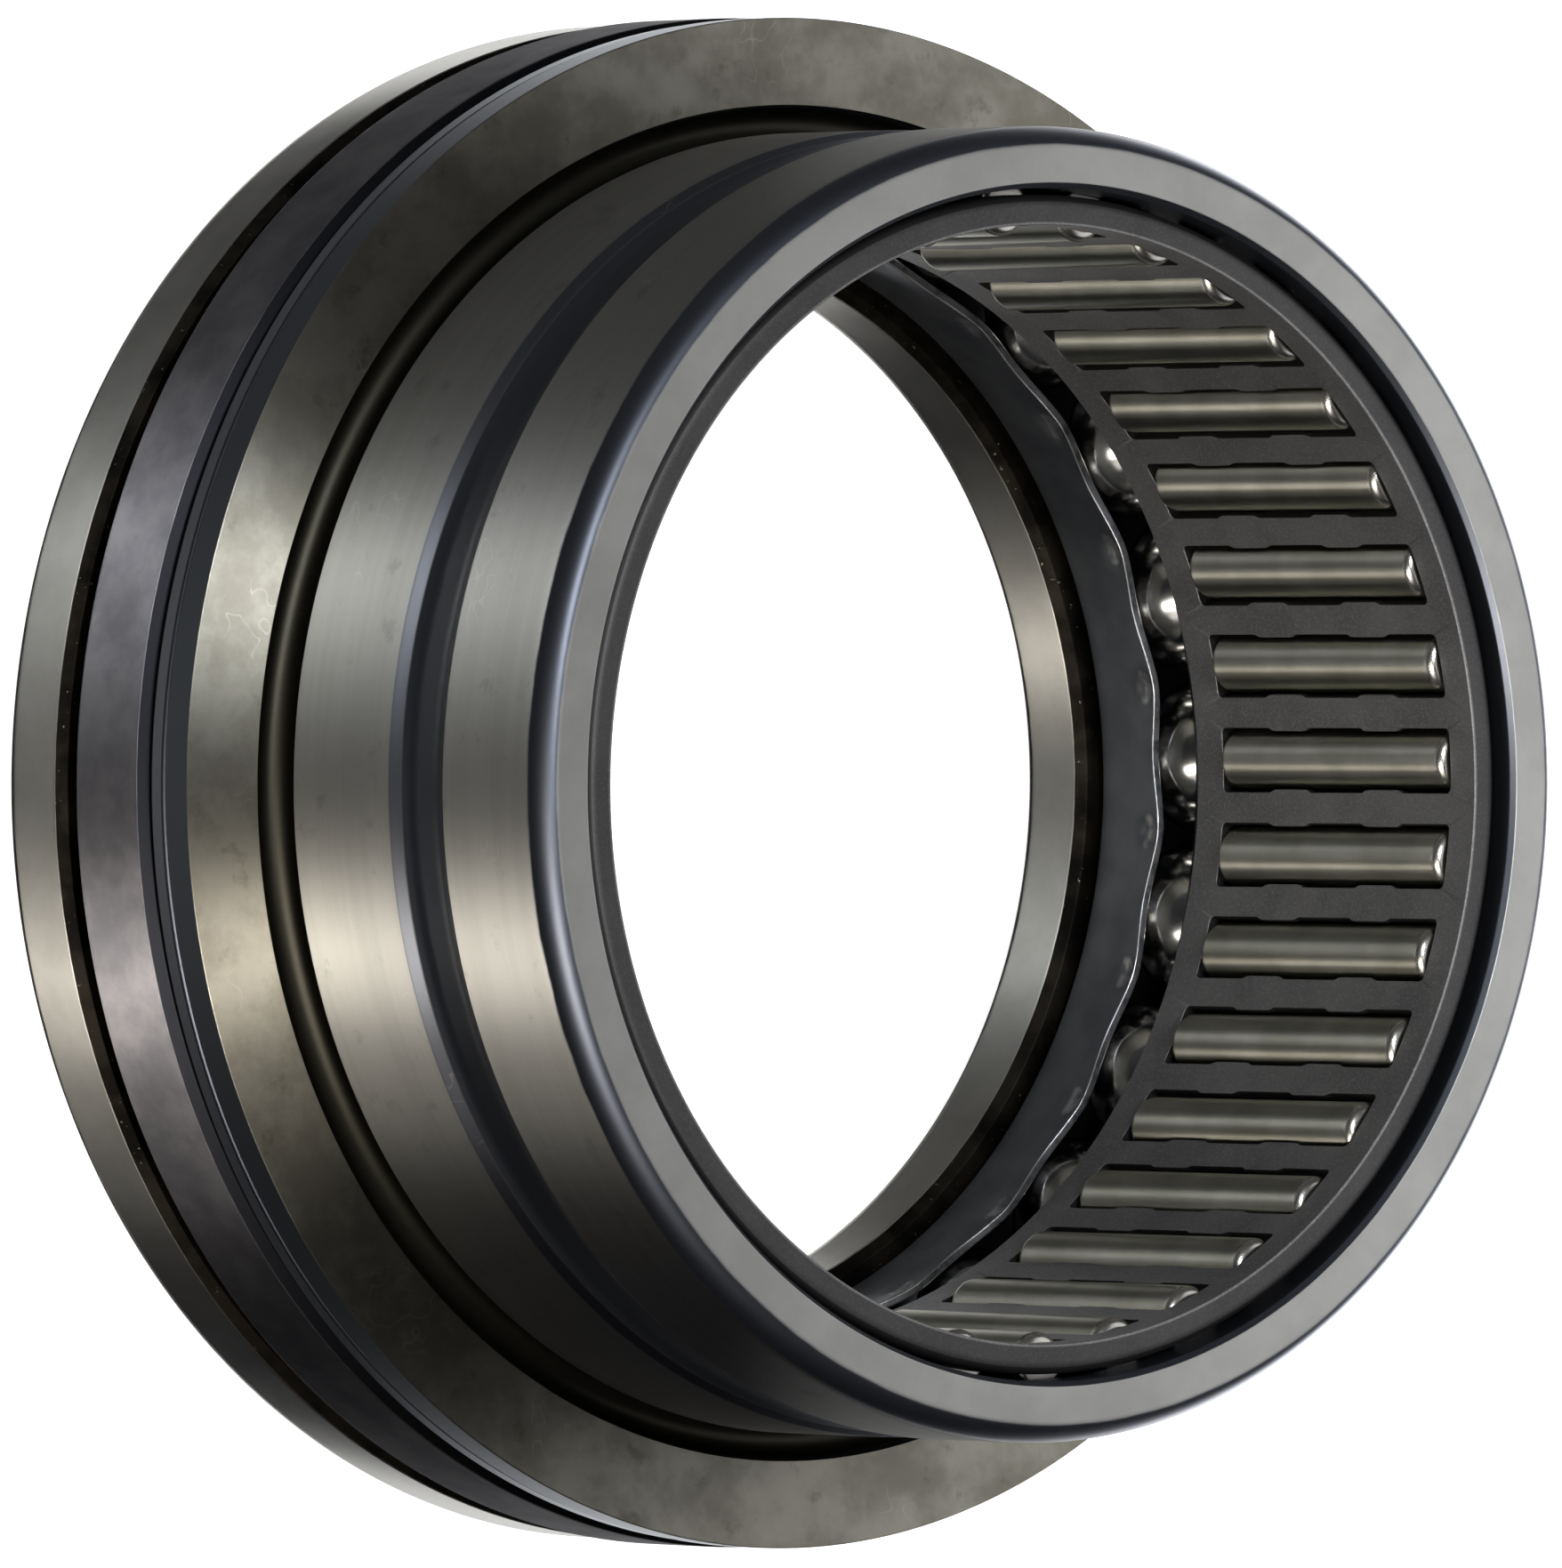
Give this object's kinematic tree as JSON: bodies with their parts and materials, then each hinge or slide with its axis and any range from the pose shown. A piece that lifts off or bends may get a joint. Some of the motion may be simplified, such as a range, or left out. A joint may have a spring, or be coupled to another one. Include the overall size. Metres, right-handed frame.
{
  "type": "combined needle roller and thrust ball bearing",
  "caption": "Flanged bearing with a caged set of needle rollers for radial load and a caged ball set with a loose shaft washer for axial load.",
  "frame": {"origin": "centre of the shaft washer's rear face, on the bearing's axis", "axes": "+Z along the bearing's axis from the shaft washer to the needle end; +X through the middle of needle_roller_01 and of one ball"},
  "size_m": [0.085, 0.085, 0.04],
  "materials": {
    "ring_steel": "fine-ground lands, blackened where it is not ground",
    "washer_steel": "fine-ground, oxide-brown chamfers",
    "needle_cage_steel": "matt dark steel with a bright front edge",
    "thrust_cage_steel": "blue-black pressed sheet with a bright sheared edge",
    "roller_steel": "polished",
    "ball_steel": "mirror polished"
  },
  "bodies": {
    "outer_ring": {"outer_ring": "ring_steel"},
    "shaft_washer": {"shaft_washer": "washer_steel"},
    "ball_set": {"thrust_ball_cage": "thrust_cage_steel", "thrust_balls": "ball_steel"},
    "needle_cage": {"needle_cage": "needle_cage_steel"},
    "needle_roller_01": {"needle_roller_01": "roller_steel"},
    "needle_roller_02": {"needle_roller_02": "roller_steel"},
    "needle_roller_03": {"needle_roller_03": "roller_steel"},
    "needle_roller_04": {"needle_roller_04": "roller_steel"},
    "needle_roller_05": {"needle_roller_05": "roller_steel"},
    "needle_roller_06": {"needle_roller_06": "roller_steel"},
    "needle_roller_07": {"needle_roller_07": "roller_steel"},
    "needle_roller_08": {"needle_roller_08": "roller_steel"},
    "needle_roller_09": {"needle_roller_09": "roller_steel"},
    "needle_roller_10": {"needle_roller_10": "roller_steel"},
    "needle_roller_11": {"needle_roller_11": "roller_steel"},
    "needle_roller_12": {"needle_roller_12": "roller_steel"},
    "needle_roller_13": {"needle_roller_13": "roller_steel"},
    "needle_roller_14": {"needle_roller_14": "roller_steel"},
    "needle_roller_15": {"needle_roller_15": "roller_steel"},
    "needle_roller_16": {"needle_roller_16": "roller_steel"},
    "needle_roller_17": {"needle_roller_17": "roller_steel"},
    "needle_roller_18": {"needle_roller_18": "roller_steel"},
    "needle_roller_19": {"needle_roller_19": "roller_steel"},
    "needle_roller_20": {"needle_roller_20": "roller_steel"},
    "needle_roller_21": {"needle_roller_21": "roller_steel"},
    "needle_roller_22": {"needle_roller_22": "roller_steel"},
    "needle_roller_23": {"needle_roller_23": "roller_steel"},
    "needle_roller_24": {"needle_roller_24": "roller_steel"},
    "needle_roller_25": {"needle_roller_25": "roller_steel"},
    "needle_roller_26": {"needle_roller_26": "roller_steel"},
    "needle_roller_27": {"needle_roller_27": "roller_steel"},
    "needle_roller_28": {"needle_roller_28": "roller_steel"},
    "needle_roller_29": {"needle_roller_29": "roller_steel"},
    "needle_roller_30": {"needle_roller_30": "roller_steel"},
    "needle_roller_31": {"needle_roller_31": "roller_steel"},
    "needle_roller_32": {"needle_roller_32": "roller_steel"},
    "needle_roller_33": {"needle_roller_33": "roller_steel"},
    "needle_roller_34": {"needle_roller_34": "roller_steel"},
    "needle_roller_35": {"needle_roller_35": "roller_steel"},
    "needle_roller_36": {"needle_roller_36": "roller_steel"}
  },
  "joints": [
    {"name": "shaft_washer_turn", "type": "hinge", "parent": "outer_ring", "child": "shaft_washer", "pos_m": [0, 0, 0.0027], "axis": [0, 0, 1], "continuous": true},
    {"name": "ball_set_turn", "type": "hinge", "parent": "outer_ring", "child": "ball_set", "pos_m": [0, 0, 0.0085], "axis": [0, 0, 1], "continuous": true},
    {"name": "needle_cage_turn", "type": "hinge", "parent": "outer_ring", "child": "needle_cage", "pos_m": [0, 0, 0.0272], "axis": [0, 0, 1], "continuous": true},
    {"name": "needle_roller_01_spin", "type": "hinge", "parent": "needle_cage", "child": "needle_roller_01", "pos_m": [0.03175, 0, 0.0272], "axis": [0, 0, 1], "continuous": true},
    {"name": "needle_roller_02_spin", "type": "hinge", "parent": "needle_cage", "child": "needle_roller_02", "pos_m": [0.03127, 0.00551, 0.0272], "axis": [0, 0, 1], "continuous": true},
    {"name": "needle_roller_03_spin", "type": "hinge", "parent": "needle_cage", "child": "needle_roller_03", "pos_m": [0.02984, 0.01086, 0.0272], "axis": [0, 0, 1], "continuous": true},
    {"name": "needle_roller_04_spin", "type": "hinge", "parent": "needle_cage", "child": "needle_roller_04", "pos_m": [0.0275, 0.01588, 0.0272], "axis": [0, 0, 1], "continuous": true},
    {"name": "needle_roller_05_spin", "type": "hinge", "parent": "needle_cage", "child": "needle_roller_05", "pos_m": [0.02432, 0.02041, 0.0272], "axis": [0, 0, 1], "continuous": true},
    {"name": "needle_roller_06_spin", "type": "hinge", "parent": "needle_cage", "child": "needle_roller_06", "pos_m": [0.02041, 0.02432, 0.0272], "axis": [0, 0, 1], "continuous": true},
    {"name": "needle_roller_07_spin", "type": "hinge", "parent": "needle_cage", "child": "needle_roller_07", "pos_m": [0.01588, 0.0275, 0.0272], "axis": [0, 0, 1], "continuous": true},
    {"name": "needle_roller_08_spin", "type": "hinge", "parent": "needle_cage", "child": "needle_roller_08", "pos_m": [0.01086, 0.02984, 0.0272], "axis": [0, 0, 1], "continuous": true},
    {"name": "needle_roller_09_spin", "type": "hinge", "parent": "needle_cage", "child": "needle_roller_09", "pos_m": [0.00551, 0.03127, 0.0272], "axis": [0, 0, 1], "continuous": true},
    {"name": "needle_roller_10_spin", "type": "hinge", "parent": "needle_cage", "child": "needle_roller_10", "pos_m": [0, 0.03175, 0.0272], "axis": [0, 0, 1], "continuous": true},
    {"name": "needle_roller_11_spin", "type": "hinge", "parent": "needle_cage", "child": "needle_roller_11", "pos_m": [-0.00551, 0.03127, 0.0272], "axis": [0, 0, 1], "continuous": true},
    {"name": "needle_roller_12_spin", "type": "hinge", "parent": "needle_cage", "child": "needle_roller_12", "pos_m": [-0.01086, 0.02984, 0.0272], "axis": [0, 0, 1], "continuous": true},
    {"name": "needle_roller_13_spin", "type": "hinge", "parent": "needle_cage", "child": "needle_roller_13", "pos_m": [-0.01588, 0.0275, 0.0272], "axis": [0, 0, 1], "continuous": true},
    {"name": "needle_roller_14_spin", "type": "hinge", "parent": "needle_cage", "child": "needle_roller_14", "pos_m": [-0.02041, 0.02432, 0.0272], "axis": [0, 0, 1], "continuous": true},
    {"name": "needle_roller_15_spin", "type": "hinge", "parent": "needle_cage", "child": "needle_roller_15", "pos_m": [-0.02432, 0.02041, 0.0272], "axis": [0, 0, 1], "continuous": true},
    {"name": "needle_roller_16_spin", "type": "hinge", "parent": "needle_cage", "child": "needle_roller_16", "pos_m": [-0.0275, 0.01588, 0.0272], "axis": [0, 0, 1], "continuous": true},
    {"name": "needle_roller_17_spin", "type": "hinge", "parent": "needle_cage", "child": "needle_roller_17", "pos_m": [-0.02984, 0.01086, 0.0272], "axis": [0, 0, 1], "continuous": true},
    {"name": "needle_roller_18_spin", "type": "hinge", "parent": "needle_cage", "child": "needle_roller_18", "pos_m": [-0.03127, 0.00551, 0.0272], "axis": [0, 0, 1], "continuous": true},
    {"name": "needle_roller_19_spin", "type": "hinge", "parent": "needle_cage", "child": "needle_roller_19", "pos_m": [-0.03175, 0, 0.0272], "axis": [0, 0, 1], "continuous": true},
    {"name": "needle_roller_20_spin", "type": "hinge", "parent": "needle_cage", "child": "needle_roller_20", "pos_m": [-0.03127, -0.00551, 0.0272], "axis": [0, 0, 1], "continuous": true},
    {"name": "needle_roller_21_spin", "type": "hinge", "parent": "needle_cage", "child": "needle_roller_21", "pos_m": [-0.02984, -0.01086, 0.0272], "axis": [0, 0, 1], "continuous": true},
    {"name": "needle_roller_22_spin", "type": "hinge", "parent": "needle_cage", "child": "needle_roller_22", "pos_m": [-0.0275, -0.01588, 0.0272], "axis": [0, 0, 1], "continuous": true},
    {"name": "needle_roller_23_spin", "type": "hinge", "parent": "needle_cage", "child": "needle_roller_23", "pos_m": [-0.02432, -0.02041, 0.0272], "axis": [0, 0, 1], "continuous": true},
    {"name": "needle_roller_24_spin", "type": "hinge", "parent": "needle_cage", "child": "needle_roller_24", "pos_m": [-0.02041, -0.02432, 0.0272], "axis": [0, 0, 1], "continuous": true},
    {"name": "needle_roller_25_spin", "type": "hinge", "parent": "needle_cage", "child": "needle_roller_25", "pos_m": [-0.01588, -0.0275, 0.0272], "axis": [0, 0, 1], "continuous": true},
    {"name": "needle_roller_26_spin", "type": "hinge", "parent": "needle_cage", "child": "needle_roller_26", "pos_m": [-0.01086, -0.02984, 0.0272], "axis": [0, 0, 1], "continuous": true},
    {"name": "needle_roller_27_spin", "type": "hinge", "parent": "needle_cage", "child": "needle_roller_27", "pos_m": [-0.00551, -0.03127, 0.0272], "axis": [0, 0, 1], "continuous": true},
    {"name": "needle_roller_28_spin", "type": "hinge", "parent": "needle_cage", "child": "needle_roller_28", "pos_m": [0, -0.03175, 0.0272], "axis": [0, 0, 1], "continuous": true},
    {"name": "needle_roller_29_spin", "type": "hinge", "parent": "needle_cage", "child": "needle_roller_29", "pos_m": [0.00551, -0.03127, 0.0272], "axis": [0, 0, 1], "continuous": true},
    {"name": "needle_roller_30_spin", "type": "hinge", "parent": "needle_cage", "child": "needle_roller_30", "pos_m": [0.01086, -0.02984, 0.0272], "axis": [0, 0, 1], "continuous": true},
    {"name": "needle_roller_31_spin", "type": "hinge", "parent": "needle_cage", "child": "needle_roller_31", "pos_m": [0.01588, -0.0275, 0.0272], "axis": [0, 0, 1], "continuous": true},
    {"name": "needle_roller_32_spin", "type": "hinge", "parent": "needle_cage", "child": "needle_roller_32", "pos_m": [0.02041, -0.02432, 0.0272], "axis": [0, 0, 1], "continuous": true},
    {"name": "needle_roller_33_spin", "type": "hinge", "parent": "needle_cage", "child": "needle_roller_33", "pos_m": [0.02432, -0.02041, 0.0272], "axis": [0, 0, 1], "continuous": true},
    {"name": "needle_roller_34_spin", "type": "hinge", "parent": "needle_cage", "child": "needle_roller_34", "pos_m": [0.0275, -0.01588, 0.0272], "axis": [0, 0, 1], "continuous": true},
    {"name": "needle_roller_35_spin", "type": "hinge", "parent": "needle_cage", "child": "needle_roller_35", "pos_m": [0.02984, -0.01086, 0.0272], "axis": [0, 0, 1], "continuous": true},
    {"name": "needle_roller_36_spin", "type": "hinge", "parent": "needle_cage", "child": "needle_roller_36", "pos_m": [0.03127, -0.00551, 0.0272], "axis": [0, 0, 1], "continuous": true}
  ],
  "couplings": [
    {"joint": "ball_set_turn", "follows": "shaft_washer_turn", "ratio": 0.5},
    {"joint": "needle_roller_01_spin", "follows": "needle_cage_turn", "ratio": -19.171},
    {"joint": "needle_roller_02_spin", "follows": "needle_cage_turn", "ratio": -19.171},
    {"joint": "needle_roller_03_spin", "follows": "needle_cage_turn", "ratio": -19.171},
    {"joint": "needle_roller_04_spin", "follows": "needle_cage_turn", "ratio": -19.171},
    {"joint": "needle_roller_05_spin", "follows": "needle_cage_turn", "ratio": -19.171},
    {"joint": "needle_roller_06_spin", "follows": "needle_cage_turn", "ratio": -19.171},
    {"joint": "needle_roller_07_spin", "follows": "needle_cage_turn", "ratio": -19.171},
    {"joint": "needle_roller_08_spin", "follows": "needle_cage_turn", "ratio": -19.171},
    {"joint": "needle_roller_09_spin", "follows": "needle_cage_turn", "ratio": -19.171},
    {"joint": "needle_roller_10_spin", "follows": "needle_cage_turn", "ratio": -19.171},
    {"joint": "needle_roller_11_spin", "follows": "needle_cage_turn", "ratio": -19.171},
    {"joint": "needle_roller_12_spin", "follows": "needle_cage_turn", "ratio": -19.171},
    {"joint": "needle_roller_13_spin", "follows": "needle_cage_turn", "ratio": -19.171},
    {"joint": "needle_roller_14_spin", "follows": "needle_cage_turn", "ratio": -19.171},
    {"joint": "needle_roller_15_spin", "follows": "needle_cage_turn", "ratio": -19.171},
    {"joint": "needle_roller_16_spin", "follows": "needle_cage_turn", "ratio": -19.171},
    {"joint": "needle_roller_17_spin", "follows": "needle_cage_turn", "ratio": -19.171},
    {"joint": "needle_roller_18_spin", "follows": "needle_cage_turn", "ratio": -19.171},
    {"joint": "needle_roller_19_spin", "follows": "needle_cage_turn", "ratio": -19.171},
    {"joint": "needle_roller_20_spin", "follows": "needle_cage_turn", "ratio": -19.171},
    {"joint": "needle_roller_21_spin", "follows": "needle_cage_turn", "ratio": -19.171},
    {"joint": "needle_roller_22_spin", "follows": "needle_cage_turn", "ratio": -19.171},
    {"joint": "needle_roller_23_spin", "follows": "needle_cage_turn", "ratio": -19.171},
    {"joint": "needle_roller_24_spin", "follows": "needle_cage_turn", "ratio": -19.171},
    {"joint": "needle_roller_25_spin", "follows": "needle_cage_turn", "ratio": -19.171},
    {"joint": "needle_roller_26_spin", "follows": "needle_cage_turn", "ratio": -19.171},
    {"joint": "needle_roller_27_spin", "follows": "needle_cage_turn", "ratio": -19.171},
    {"joint": "needle_roller_28_spin", "follows": "needle_cage_turn", "ratio": -19.171},
    {"joint": "needle_roller_29_spin", "follows": "needle_cage_turn", "ratio": -19.171},
    {"joint": "needle_roller_30_spin", "follows": "needle_cage_turn", "ratio": -19.171},
    {"joint": "needle_roller_31_spin", "follows": "needle_cage_turn", "ratio": -19.171},
    {"joint": "needle_roller_32_spin", "follows": "needle_cage_turn", "ratio": -19.171},
    {"joint": "needle_roller_33_spin", "follows": "needle_cage_turn", "ratio": -19.171},
    {"joint": "needle_roller_34_spin", "follows": "needle_cage_turn", "ratio": -19.171},
    {"joint": "needle_roller_35_spin", "follows": "needle_cage_turn", "ratio": -19.171},
    {"joint": "needle_roller_36_spin", "follows": "needle_cage_turn", "ratio": -19.171}
  ]
}
